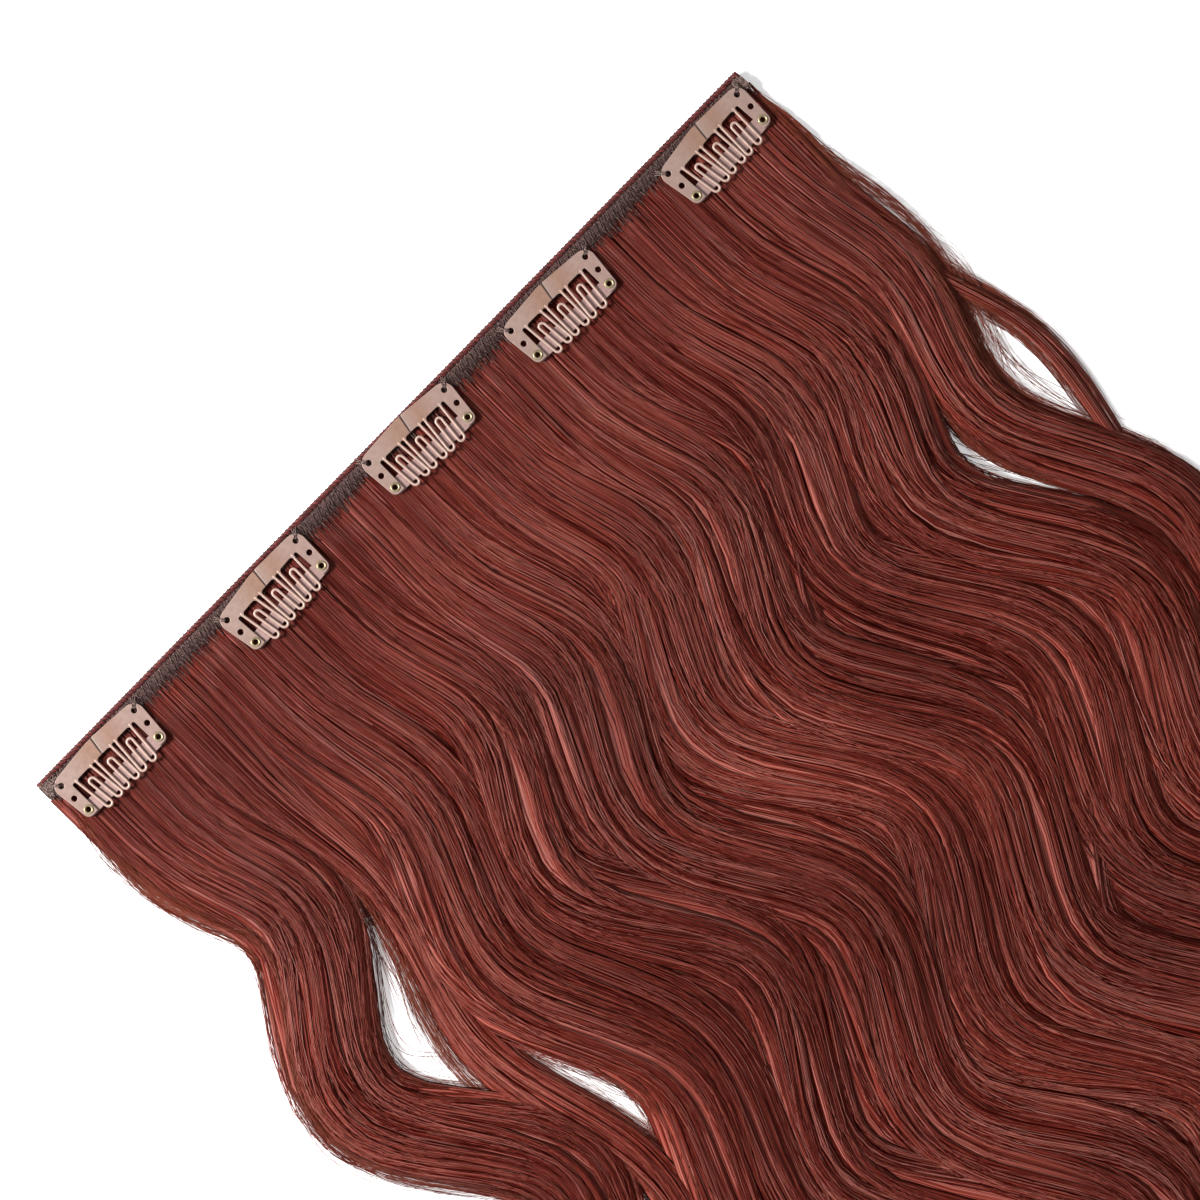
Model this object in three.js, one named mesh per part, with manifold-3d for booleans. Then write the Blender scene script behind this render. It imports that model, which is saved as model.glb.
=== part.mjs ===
// Clip-in hair extension: one wide weft of waved hair with five snap clips, lying clip side up on a surface.
// Millimetres. +X runs along the band, +Y points from the hair's tips to the band, +Z points up out of the
// surface. The origin is on the surface, under the middle of the band.
import * as THREE from "three";
import { mergeVertices } from "three/addons/utils/BufferGeometryUtils.js";
import Module from "manifold-3d";

const wasm = await Module();
wasm.setup();

const GAP = 0.3; // air between pieces that lie on each other
const BAND = { length: 260, depth: 6.6, height: 2.75, weltDepth: 1.5, weltHeight: 3.1 };
const SHEET = 0.5; // thickness of the clips' spring steel
const HAIR = {
  headLength: 15, // flat stretch that the clips lie on
  headHeight: 2.3,
  headInset: 1, // the band is this much longer at each end
  headPower: 0.3, // a lock's section is boxy at the band
  bodyPower: 0.9, // and rounded further on
  tipHeight: 0.9,
  wavelength: 107,
  firstCrest: 53, // distance from the band to the first crest, which points to +X
  calmLength: 8, // the waves start here
  fullLength: 98, // and have their full swing from here on
  tipShare: 0.42, // last share of a lock, where it tapers
  stations: 29,
  crowding: 0.45, // how much closer the stations lie at the crests
  sectionTurn: 0.5, // share of the hair's turning that the sections follow
};
const CLIP = {
  halfTop: 15.8, // half width at the sewing holes
  halfBottom: 14.95, // half width at the eyelets
  top: 7.9, // heights above and below the line of the middle sewing holes
  ridge: 1.5, // half width of the top edge's highest stretch, over the crease
  shoulder: 7.05,
  shoulderRun: 3.5, // the upper corners' bends, along the top and down
  shoulderDrop: 0.3,
  cornerEase: 0.2,
  legEnd: -6.5,
  footRun: 2.1, // the lower corners' bends, along the foot and up
  footRise: 2,
  toothEnd: -8.44,
  railTop: 3.9, // the comb's rail is cut free of the top bar above this line
  railBottom: 2.84,
  legInner: 11.5,
  holeX: 13.65,
  sewingHoles: [4.7, 0], // heights of the two sewing holes in each leg
  holeRadius: 0.8,
  eyeletX: 13.1,
  eyeletY: -4.6,
};
const TOOTH = { pitch: 3.66, strip: 0.72, outer: 1.3, archTop: 1.0 };
const PAIRS = { rootPitch: 7.3, tipPitch: 6.3 }; // the three pairs of teeth lean towards the middle
const BAR = { top: -2.6, bottom: -6.75, halfLength: 14.9 };
const EYELET = { bore: 0.6, tube: 0.85, flange: 1.3, flangeHeight: 0.35, clearance: 0.2 };
const CREASE = { width: 0.5, depth: 0.22, lean: 0.17 };
const CURVE_STEPS = 4; // for a bend or for half a circle
const OUTER_STEPS = 5; // for the outside of a tooth's bend
const INNER_STEPS = 3; // and for its inside
const EYELET_SIDES = 8;
const SECTION_ANGLES = [0, 35, 65, 90, 115, 145, 180]; // degrees over the top of a lock's section

// Where each clip is sewn: x and y of the middle of its sewing holes, and its turn in degrees
const CLIPS = [
  { x: -111.6, y: -6.24, turn: 0.5 },
  { x: -50.5, y: -6.12, turn: 3.6 },
  { x: 4.0, y: -5.07, turn: -1.5 },
  { x: 54.4, y: -7.27, turn: -0.7 },
  { x: 112.4, y: -6.93, turn: 3.4 },
];

// The hair's locks from left to right. root is the x of a lock's middle at the band, tip its last width,
// swing the half width of its waves, late how far its crests lie past the first one and lean its drift.
const LOCKS = [
  { root: -112, rootWidth: 36, width: 28, tip: 4, height: 7.4, swing: 13.5, late: 5, lean: -16, length: 432 },
  { root: -87, rootWidth: 25, width: 12.5, tip: 3, height: 4.6, swing: 5, late: 16, lean: -17, length: 404 },
  { root: -68, rootWidth: 32, width: 37, tip: 5, height: 7.8, swing: 8.5, late: 5, lean: -4, length: 440 },
  { root: -40, rootWidth: 31, width: 37, tip: 4, height: 6.4, swing: 11.5, late: 0, lean: -2, length: 446 },
  { root: -13, rootWidth: 30, width: 37, tip: 5, height: 8.0, swing: 11, late: 7, lean: 0, length: 450 },
  { root: 14, rootWidth: 30, width: 37, tip: 4, height: 6.6, swing: 12, late: 1, lean: 2, length: 444 },
  { root: 41, rootWidth: 30, width: 37, tip: 5, height: 7.8, swing: 12, late: 4, lean: 2, length: 448 },
  { root: 67, rootWidth: 30, width: 39, tip: 4, height: 6.6, swing: 11.5, late: -3, lean: 6, length: 438 },
  { root: 91.8, rootWidth: 29, width: 31, tip: 4, height: 7.6, swing: 11, late: -3, lean: 15, length: 442 },
  { root: 117.3, rootWidth: 25, width: 18, tip: 3, height: 6.2, swing: 8.5, late: -6, lean: 13, length: 430 },
  { root: 126.5, rootWidth: 8, width: 3.6, tip: 2, height: 3, swing: -4.5, late: -10, lean: 9, length: 175 },
];

const MATERIALS = {
  hair: new THREE.MeshStandardMaterial({ color: 0x7a3a2e, roughness: 0.45, metalness: 0 }),
  band: new THREE.MeshStandardMaterial({ color: 0x5a3230, roughness: 0.8, metalness: 0 }),
  sheet: new THREE.MeshStandardMaterial({ color: 0xc4a193, roughness: 0.35, metalness: 0.6 }),
  bar: new THREE.MeshStandardMaterial({ color: 0xa39691, roughness: 0.4, metalness: 0.6 }),
  brass: new THREE.MeshStandardMaterial({ color: 0xd8b96a, roughness: 0.3, metalness: 1 }),
};

// Solids

function solidOf(geometry) {
  const bare = new THREE.BufferGeometry().setAttribute("position", geometry.getAttribute("position"));
  if (geometry.index) bare.setIndex(geometry.index);
  const merged = mergeVertices(bare);
  return new wasm.Manifold(
    new wasm.Mesh({
      numProp: 3,
      vertProperties: merged.getAttribute("position").array,
      triVerts: new Uint32Array(merged.index.array),
    }),
  );
}

function geometryOf(solid) {
  const made = solid.getMesh();
  const geometry = new THREE.BufferGeometry();
  geometry.setAttribute("position", new THREE.BufferAttribute(made.vertProperties, 3));
  geometry.setIndex(new THREE.BufferAttribute(made.triVerts, 1));
  return geometry;
}

function piece(name, geometry, material) {
  const mesh = new THREE.Mesh(geometry, material);
  mesh.name = name;
  return mesh;
}

function extruded(shape, depth, curveSegments) {
  return new THREE.ExtrudeGeometry(shape, { depth, curveSegments, bevelEnabled: false });
}

// A closed skin over rings of points, which run counter-clockwise seen against the way the rings follow.
function lofted(rings) {
  const around = rings[0].length;
  const last = (rings.length - 1) * around;
  const triangles = [];
  for (let ring = 0; ring + 1 < rings.length; ring++) {
    for (let side = 0; side < around; side++) {
      const a = ring * around + side;
      const b = ring * around + ((side + 1) % around);
      triangles.push(a, b, a + around, b, b + around, a + around);
    }
  }
  for (let side = 1; side + 1 < around; side++) {
    triangles.push(0, side + 1, side, last, last + side, last + side + 1);
  }
  return new THREE.BufferGeometry().setFromPoints(rings.flat()).setIndex(triangles);
}

// Hair

const hairStart = -BAND.depth / 2 - GAP;
const smooth = (from, to, value) => THREE.MathUtils.smoothstep(value, from, to);
const mix = THREE.MathUtils.lerp;

// The line down the middle of a lock, in plan, at a distance from the band.
function lockMiddle(lock, distance) {
  const turn = (2 * Math.PI * (distance - HAIR.firstCrest - lock.late)) / HAIR.wavelength;
  const drift = (lock.lean * distance) / lock.length;
  const share = smooth(HAIR.calmLength, HAIR.fullLength, distance);
  return lock.root + share * (drift + lock.swing * Math.cos(turn));
}

function lockWidth(lock, share, distance) {
  const body = mix(lock.rootWidth, lock.width, smooth(HAIR.calmLength, HAIR.fullLength, distance));
  return mix(body, lock.tip, smooth(1 - HAIR.tipShare, 1, share));
}

function lockHeight(lock, share, distance) {
  const body = mix(HAIR.headHeight, lock.height, smooth(HAIR.headLength, HAIR.fullLength, distance));
  return mix(body, HAIR.tipHeight, smooth(1 - HAIR.tipShare, 1, share));
}

// A section of a lock, turned part of the way with the run of the hair and flat underneath.
function lockSection(lock, distance) {
  const share = distance / lock.length;
  const slope = lockMiddle(lock, distance + 0.5) - lockMiddle(lock, distance - 0.5);
  const across = new THREE.Vector3(1, HAIR.sectionTurn * slope, 0).normalize();
  const half = lockWidth(lock, share, distance) / 2;
  const height = lockHeight(lock, share, distance);
  const power = mix(HAIR.headPower, HAIR.bodyPower, smooth(HAIR.headLength, HAIR.fullLength, distance));
  const base = new THREE.Vector3(lockMiddle(lock, distance), hairStart - distance, 0);
  return SECTION_ANGLES.map((degrees) => {
    const angle = THREE.MathUtils.degToRad(degrees);
    const point = base.clone().addScaledVector(across, half * Math.cos(angle));
    return point.setZ(height * Math.max(Math.sin(angle), 0) ** power);
  });
}

function lockSolid(lock) {
  const rings = [];
  for (let station = 0; station <= HAIR.stations; station++) {
    const even = (station / HAIR.stations) * lock.length;
    const turn = (4 * Math.PI * (even - HAIR.firstCrest - lock.late)) / HAIR.wavelength;
    const shift = (HAIR.crowding * HAIR.wavelength * Math.sin(turn)) / (4 * Math.PI);
    const distance = station % HAIR.stations ? even - shift : even;
    rings.push(lockSection(lock, distance));
  }
  return solidOf(lofted(rings));
}

// All locks, fused to the flat head that the band's stitches hold.
function hairGeometry() {
  const headWidth = BAND.length - 2 * HAIR.headInset;
  const head = new THREE.BoxGeometry(headWidth, HAIR.headLength, HAIR.headHeight);
  head.translate(0, hairStart - HAIR.headLength / 2, HAIR.headHeight / 2);
  const fused = LOCKS.reduce((hair, lock) => hair.add(lockSolid(lock)), solidOf(head));
  return geometryOf(fused);
}

// Band: a flat strip of sewn wefts with a rolled welt along its upper edge.
function bandGeometry() {
  const { length, depth, height, weltDepth, weltHeight } = BAND;
  const back = depth / 2;
  const weltMiddle = back - weltDepth / 2;
  const section = new THREE.Shape();
  section.moveTo(-back, 0);
  section.lineTo(back, 0);
  section.lineTo(back, weltHeight - weltDepth / 2);
  section.absarc(weltMiddle, weltHeight - weltDepth / 2, weltDepth / 2, 0, Math.PI, false);
  section.lineTo(back - weltDepth, height);
  section.lineTo(-back + height / 4, height);
  section.quadraticCurveTo(-back, height, -back, height / 2);
  const geometry = extruded(section, length, CURVE_STEPS);
  geometry.translate(0, 0, -length / 2);
  geometry.rotateX(Math.PI / 2);
  geometry.rotateZ(Math.PI / 2);
  return geometry;
}

// Clips

const barZ = HAIR.headHeight + GAP;
const sheetZ = barZ + SHEET + GAP;

function circle(x, y, radius) {
  return new THREE.Path().absarc(x, y, radius, 0, 2 * Math.PI, false);
}

function arcPoints(x, y, radius, from, to, steps) {
  return Array.from({ length: steps + 1 }, (_, step) => {
    const angle = mix(from, to, step / steps);
    return new THREE.Vector2(x + radius * Math.cos(angle), y + radius * Math.sin(angle));
  });
}

// The stamped frame: a top bar with two legs, four sewing holes, two eyelet holes and a crease in the middle.
function frameGeometry() {
  const barBottom = CLIP.railTop + GAP;
  const shoulderX = CLIP.halfTop - CLIP.shoulderRun;
  const cornerX = CLIP.halfTop - CLIP.cornerEase;
  const cornerY = CLIP.railTop;
  const bendY = CLIP.shoulder - CLIP.shoulderDrop;
  const footX = CLIP.halfBottom - CLIP.footRun;
  const footY = CLIP.legEnd + CLIP.footRise;
  const shape = new THREE.Shape();
  shape.moveTo(-shoulderX, CLIP.shoulder);
  shape.quadraticCurveTo(-cornerX, bendY, -CLIP.halfTop, cornerY);
  shape.lineTo(-CLIP.halfBottom, footY);
  shape.quadraticCurveTo(-CLIP.halfBottom, CLIP.legEnd, -footX, CLIP.legEnd);
  shape.lineTo(-CLIP.legInner, CLIP.legEnd);
  shape.lineTo(-CLIP.legInner, barBottom);
  shape.lineTo(CLIP.legInner, barBottom);
  shape.lineTo(CLIP.legInner, CLIP.legEnd);
  shape.lineTo(footX, CLIP.legEnd);
  shape.quadraticCurveTo(CLIP.halfBottom, CLIP.legEnd, CLIP.halfBottom, footY);
  shape.lineTo(CLIP.halfTop, cornerY);
  shape.quadraticCurveTo(cornerX, bendY, shoulderX, CLIP.shoulder);
  shape.lineTo(CLIP.ridge, CLIP.top);
  shape.lineTo(-CLIP.ridge, CLIP.top);
  for (const side of [-1, 1]) {
    for (const y of CLIP.sewingHoles) shape.holes.push(circle(side * CLIP.holeX, y, CLIP.holeRadius));
    shape.holes.push(circle(side * CLIP.eyeletX, CLIP.eyeletY, EYELET.tube + EYELET.clearance));
  }
  const plate = extruded(shape, SHEET, CURVE_STEPS);
  plate.translate(0, 0, sheetZ);
  const groove = new THREE.BoxGeometry(CREASE.width, 2 * CLIP.top, 2 * CREASE.depth);
  groove.rotateZ(-CREASE.lean);
  groove.translate(0, (CLIP.top + barBottom) / 2, sheetZ + SHEET);
  return geometryOf(solidOf(plate).subtract(solidOf(groove)));
}

// The comb: three pairs of looped teeth, each pair joined by an arch, hanging from one rail.
function combGeometry() {
  const { railTop, railBottom, toothEnd } = CLIP;
  const tipY = toothEnd + TOOTH.outer;
  const loopInner = TOOTH.outer - TOOTH.strip;
  const half = TOOTH.pitch / 2;
  const archInner = half - TOOTH.outer;
  const archOuter = archInner + TOOTH.strip;
  const archY = TOOTH.archTop - archOuter;
  const pairEdge = half + TOOTH.outer;
  const windowEdge = pairEdge - TOOTH.strip;
  const placed = (pair) => (point) => {
    const down = Math.max((railBottom - point.y) / (railBottom - toothEnd), 0);
    return new THREE.Vector2(point.x + pair * mix(PAIRS.rootPitch, PAIRS.tipPitch, down), point.y);
  };
  const outline = [];
  const windows = [];
  for (const pair of [-1, 0, 1]) {
    outline.push(
      ...[
        new THREE.Vector2(-pairEdge, railBottom),
        ...arcPoints(-half, tipY, TOOTH.outer, Math.PI, 2 * Math.PI, OUTER_STEPS),
        ...arcPoints(0, archY, archInner, Math.PI, 0, INNER_STEPS),
        ...arcPoints(half, tipY, TOOTH.outer, Math.PI, 2 * Math.PI, OUTER_STEPS),
        new THREE.Vector2(pairEdge, railBottom),
      ].map(placed(pair)),
    );
    windows.push(
      [
        new THREE.Vector2(-windowEdge, railBottom),
        ...arcPoints(-half, tipY, loopInner, Math.PI, 2 * Math.PI, INNER_STEPS),
        ...arcPoints(0, archY, archOuter, Math.PI, 0, OUTER_STEPS),
        ...arcPoints(half, tipY, loopInner, Math.PI, 2 * Math.PI, INNER_STEPS),
        new THREE.Vector2(windowEdge, railBottom),
      ].map(placed(pair)),
    );
  }
  const railEdge = PAIRS.rootPitch + pairEdge;
  outline.push(new THREE.Vector2(railEdge, railTop), new THREE.Vector2(-railEdge, railTop));
  const shape = new THREE.Shape(outline);
  shape.holes.push(...windows.map((points) => new THREE.Path(points)));
  const comb = extruded(shape, SHEET, 1);
  comb.translate(0, 0, sheetZ);
  return comb;
}

// The closing bar under the teeth, with a hole at each end for its eyelet.
function barGeometry() {
  const { top, bottom, halfLength } = BAR;
  const round = (top - bottom) / 2;
  const middle = (top + bottom) / 2;
  const shape = new THREE.Shape();
  shape.moveTo(-halfLength + round, bottom);
  shape.lineTo(halfLength - round, bottom);
  shape.absarc(halfLength - round, middle, round, -Math.PI / 2, Math.PI / 2, false);
  shape.lineTo(-halfLength + round, top);
  shape.absarc(-halfLength + round, middle, round, Math.PI / 2, (3 * Math.PI) / 2, false);
  for (const side of [-1, 1]) {
    shape.holes.push(circle(side * CLIP.eyeletX, CLIP.eyeletY, EYELET.tube + EYELET.clearance));
  }
  const bar = extruded(shape, SHEET, CURVE_STEPS);
  bar.translate(0, 0, barZ);
  return bar;
}

// A hollow rivet: a tube through the bar and the leg, with a flange on the leg.
function eyeletGeometry() {
  const { bore, tube, flange, flangeHeight, clearance } = EYELET;
  const flangeZ = sheetZ + SHEET + clearance;
  const profile = [
    new THREE.Vector2(bore, barZ),
    new THREE.Vector2(tube, barZ),
    new THREE.Vector2(tube, flangeZ),
    new THREE.Vector2(flange, flangeZ),
    new THREE.Vector2((bore + flange) / 2, flangeZ + flangeHeight),
    new THREE.Vector2(bore, flangeZ + flangeHeight / 2),
    new THREE.Vector2(bore, barZ),
  ];
  const eyelet = new THREE.LatheGeometry(profile, EYELET_SIDES);
  eyelet.rotateX(Math.PI / 2);
  return eyelet;
}

function clipGroup(name, place) {
  const clip = new THREE.Group();
  clip.position.set(place.x, place.y, 0);
  clip.rotation.z = THREE.MathUtils.degToRad(place.turn);
  clip.add(piece(`${name}_frame`, frameGeometry(), MATERIALS.sheet));
  clip.add(piece(`${name}_comb`, combGeometry(), MATERIALS.sheet));
  clip.add(piece(`${name}_bar`, barGeometry(), MATERIALS.bar));
  for (const [word, side] of [
    ["left", -1],
    ["right", 1],
  ]) {
    const eyelet = piece(`${name}_eyelet_${word}`, eyeletGeometry(), MATERIALS.brass);
    eyelet.position.set(side * CLIP.eyeletX, CLIP.eyeletY, 0);
    clip.add(eyelet);
  }
  return clip;
}

const extension = new THREE.Group();
extension.add(piece("weft_band", bandGeometry(), MATERIALS.band));
extension.add(piece("hair", hairGeometry(), MATERIALS.hair));
CLIPS.forEach((place, index) => extension.add(clipGroup(`clip_${index + 1}`, place)));

export default extension;
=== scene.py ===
"""Looks of a clip-in hair extension: strands, sewn band, stamped snap clips, floor and light.

Sizes are in millimetres in the part's own frame and become metres when a mesh is made.
"""
import math
from collections import namedtuple

import bpy
import numpy as np
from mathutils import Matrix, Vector
from mathutils.geometry import tessellate_polygon


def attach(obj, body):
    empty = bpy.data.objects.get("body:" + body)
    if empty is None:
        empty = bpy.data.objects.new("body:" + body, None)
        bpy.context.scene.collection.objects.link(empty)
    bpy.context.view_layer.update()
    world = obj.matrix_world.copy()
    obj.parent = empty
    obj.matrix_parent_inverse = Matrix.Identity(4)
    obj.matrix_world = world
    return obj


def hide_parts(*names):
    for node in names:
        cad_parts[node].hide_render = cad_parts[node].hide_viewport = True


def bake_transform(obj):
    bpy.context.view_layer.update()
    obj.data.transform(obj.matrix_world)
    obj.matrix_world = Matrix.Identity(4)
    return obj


MM = 0.001
WHITE = (1, 1, 1, 1)
ROOT_BODY = "weft"
SEED = 11
RANDOM = np.random.default_rng(SEED)

# Camera straight above, turned so that the band rises to the right
CAMERA_TARGET = (7.06, -67.8)
CAMERA_HEIGHT = 1200
CAMERA_TURN = -45.61
FRAME_WIDTH = 312.5
SENSOR_WIDTH = 36

# Lights and floor, in metres and watts. A light is a name, place, size and power
LIGHTS = [
    ("key", (-0.65, 0.5, 0.72), 0.25, 24),
    ("fill", (0.7, -0.5, 1.3), 1.2, 4),
]
LIGHT_TARGET = (0.0, -0.12, 0.0)
WORLD_STRENGTH = 0.26
FLOOR_HALF = 2.5
FLOOR_FINISH = {
    "Base Color": (0.92, 0.92, 0.92, 1),
    "Roughness": 0.9,
    "Specular IOR Level": 0.1,
    "Emission Color": WHITE,
    "Emission Strength": 0.35,
}

# Band, with its section in y and z: low where the hair leaves it and full at the welt
BAND_LENGTH = 260
BAND_HALF = BAND_LENGTH / 2
BAND_DEPTH = 6.6
BAND_HEIGHT = 2.75
BAND_FRONT = -BAND_DEPTH / 2
BAND_BACK = BAND_DEPTH / 2
BAND_SECTION = [
    (BAND_FRONT, 0.05),
    (BAND_BACK, 0.05),
    (BAND_BACK, 1.9),
    (BAND_BACK - 0.5, 2.45),
    (1.2, BAND_HEIGHT - 0.2),
    (-1.0, BAND_HEIGHT - 0.25),
    (-1.9, 2.4),
    (-2.5, 2.05),
    (BAND_FRONT, 1.4),
]
BAND_STEP = 1.5
BAND_END_LENGTH = 2
BAND_END_SHRINK = 0.3

# Welt: two twisted plies in a wound thread. Middles and reaches are y and z, a thread radius, tone and sides
WELT_DEPTH = 1.5
WELT_HEIGHT = 3.1
WELT_Y = BAND_BACK - WELT_DEPTH / 2
WELT_TWIST = 3.2
WELT_END = 0.3
WELT_STEP = 0.4
PLY_MIDDLE = (WELT_Y - 0.05, WELT_HEIGHT - 0.78)
PLY_REACH = (0.36, 0.24)
PLY_RADIUS = 0.52
PLY_SIDES = 7
PLY_TONE = 200
OVERLOCK_PITCH = 1.35
OVERLOCK_STEPS = 9
OVERLOCK_END = 1
OVERLOCK_MIDDLE = (WELT_Y, WELT_HEIGHT - 0.8)
OVERLOCK_REACH = (0.86, 0.78)
OVERLOCK_THREAD = (0.12, 0.0, 4)

# Rows of zigzag stitches: middle and swing in y, pitch, height and thread. Jitter is in x, y and z
PALE_ZIGZAGS = [
    (0.75, 0.95, 1.5, BAND_HEIGHT - 0.08, (0.16, 10.0, 5)),
    (0.0, 1.5, 2.1, BAND_HEIGHT + 0.06, (0.14, 50.0, 5)),
]
DARK_ZIGZAGS = [
    (-1.5, 1.0, 1.2, BAND_HEIGHT + 0.05, (0.13, 30.0, 5)),
    (-0.9, 0.8, 1.7, BAND_HEIGHT - 0.02, (0.16, 80.0, 5)),
]
ZIGZAG_END = 0.8
ZIGZAG_JITTER = (0.12, 0.14, 0.04)

# Knots at the band's ends: side, reach inwards and passes of thread
END_TACKS = [(-1, 6.0, 70), (1, 3.6, 46)]
TACK_CROWDING = 1.5
TACK_SWING = (0.6, 3.1)
TACK_HEIGHTS = (2.55, 3.1)
TACK_STEPS = 3
TACK_THREAD = (0.15, 70.0, 4)

# Ties over the band's front: spacing and first tone of the pale and the dark ones
PALE_TIES = (1.3, 0.0)
DARK_TIES = (0.7, 300.0)
TIE_HEIGHTS = (2.85, 3.0, 2.85, 2.6, 2.45, 2.2)
TIE_END = 1
TIE_JITTER = 0.25
TIE_STARTS = (-1.5, -0.9)
TIE_ENDS = (-5.6, -3.6)
TIE_RADIUS = (0.06, 0.12)
TIE_TONES = 200
TIE_STREAK = 6

# Hair, with the same waves as the part's solid locks
HAIR_GAP = 0.3
HAIR_START = BAND_FRONT - HAIR_GAP
HEAD_LENGTH = 15
HEAD_HEIGHT = 2.3
TIP_HEIGHT = 0.9
WAVELENGTH = 107
FIRST_CREST = 53
CALM_LENGTH = 8
FULL_LENGTH = 98
TIP_SHARE = 0.42
SECTION_TURN = 0.5
HALF_STEP = 0.5
CROWN_POWERS = (0.3, 0.9)
EDGE_CROWN = 0.02
ROOT_REACH = 1.8
ROOT_RISE = 0.5
LOCK_COLUMNS = ("root", "root_width", "width", "tip_width", "height", "swing", "late", "lean", "length")
LOCK_ROWS = [
    (-112, 36, 28, 4, 7.4, 13.5, 5, -16, 432),
    (-87, 25, 12.5, 3, 4.6, 5, 16, -17, 404),
    (-68, 32, 37, 5, 7.8, 8.5, 5, -4, 440),
    (-40, 31, 37, 4, 6.4, 11.5, 0, -2, 446),
    (-13, 30, 37, 5, 8.0, 11, 7, 0, 450),
    (14, 30, 37, 4, 6.6, 12, 1, 2, 444),
    (41, 30, 37, 5, 7.8, 12, 4, 2, 448),
    (67, 30, 39, 4, 6.6, 11.5, -3, 6, 438),
    (91.8, 29, 31, 4, 7.6, 11, -3, 15, 442),
    (117.3, 25, 18, 3, 6.2, 8.5, -6, 13, 430),
    (126.5, 8, 3.6, 2, 3.0, -4.5, -10, 9, 175),
]
LOCKS = [dict(zip(LOCK_COLUMNS, row)) for row in LOCK_ROWS]

# Stations along a strand, closer at the crests
STATIONS = 40
CROWDING = 0.45
STATION_JITTER = 0.3

# Core of a lock, in shares of its width and height, and of its length where it slims and ends
CORE_SHARE = 0.84
CORE_LIFT = 0.76
CORE_FLOOR = 0.05
CORE_SIDES = 11
CORE_TAPER = 0.9
CORE_END = (0.7, 0.94)

# Wisps: flat tufts on the core. Spreads are of a tuft and of each wisp in it, a taper is its loss and start
WISP_SPACING = 1
WISPS_PER_TUFT = 5
WISP_EDGE = 0.9
WISP_JITTER = 0.04
WANDER = 0.07
WANDER_SPREADS = (0.03, 0.015)
WANDER_PERIODS = (90, 240)
SWING_SPREADS = (0.08, 0.015)
LATE_SPREADS = (2.4, 0.4)
TUFT_LIFT = 0.93
LIFT_SPREADS = (0.035, 0.02)
LIFT_LIMITS = (0.8, 1.0)
WISP_LENGTHS = (0.84, 0.99)
TONE_SPAN = 900
LOOSEST = 1.35
WISP_LIFT = 0.83
WISP_SHARE = 0.09
LEAST_WIDTH = 0.4
WISP_FLATNESS = 0.25
THICKNESS_SHARE = 0.05
LEAST_THICKNESS = 0.1
WISP_TAPER = (0.8, 0.7)
WISP_SIDES = 4

# Strands in the run of their wisps: how they spread, stray and lie on top
WISP_SPREAD = 0.06
TIP_GATHER = 0.5
GATHER_SPAN = (0.3, 0.9)
EDGE_VEIL = 0.3
EDGE_POWER = 9
STRAY = 0.008
STRAY_TAIL = 3
STRAY_PERIODS = (80, 240)
STRAY_LENGTH = 40
STRAND_LIFT = 0.93
MIDDLE_LIFT = 0.05
LIFT_JITTER = 0.04
STRAND_SWING = 0.005
STRAND_LATE = 0.12
STRAND_SIDES = 3
FLOOR_GAP = 0.02

# Long strands run from the band to the tips
LONG_PER_MM = 6.9
LONG_LENGTHS = (0.88, 1.02)
LONG_RADIUS = (0.075, 0.13)
LONG_TAPER = (0.75, 0.75)
TONE_JITTER = 3

# Short strands: number to a millimetre, first start, last start by the lock's length, lengths and stations
SHORT_STRANDS = [
    (3.5, -ROOT_REACH, 0, (50, 120), 14),
    (2.0, 10, 0.75, (80, 150), 16),
]
SHORT_RADIUS = (0.06, 0.115)
SHORT_DIVE = 0.1
DIVE_SPAN = 0.25
SHORT_END = 0.15
THIN_END = 0.3

# Loose hairs: limits of start, length and lift on top, and of length and lift in veils
TOP_FLYAWAYS = 150
TOP_SIDE = 0.8
TOP_LEAST = (20, 40, 0.03)
TOP_MOST = (300, 110, 0.15)
VEIL_LEAST = (25, 0)
VEIL_MOST = (90, 0.2)
FLYAWAY_STATIONS = 12
FLYAWAY_SHARE = np.linspace(0, 1, FLYAWAY_STATIONS)
FLYAWAY_RIPPLE = 0.03
FLYAWAY_BOWS = 3
FLYAWAY_RADIUS = (0.055, 0.1)
FLYAWAY_TAPER = (0.6, 0.6)
FLYAWAY_FLOOR = 0.1
FLYAWAY_STREAK = 60

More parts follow.
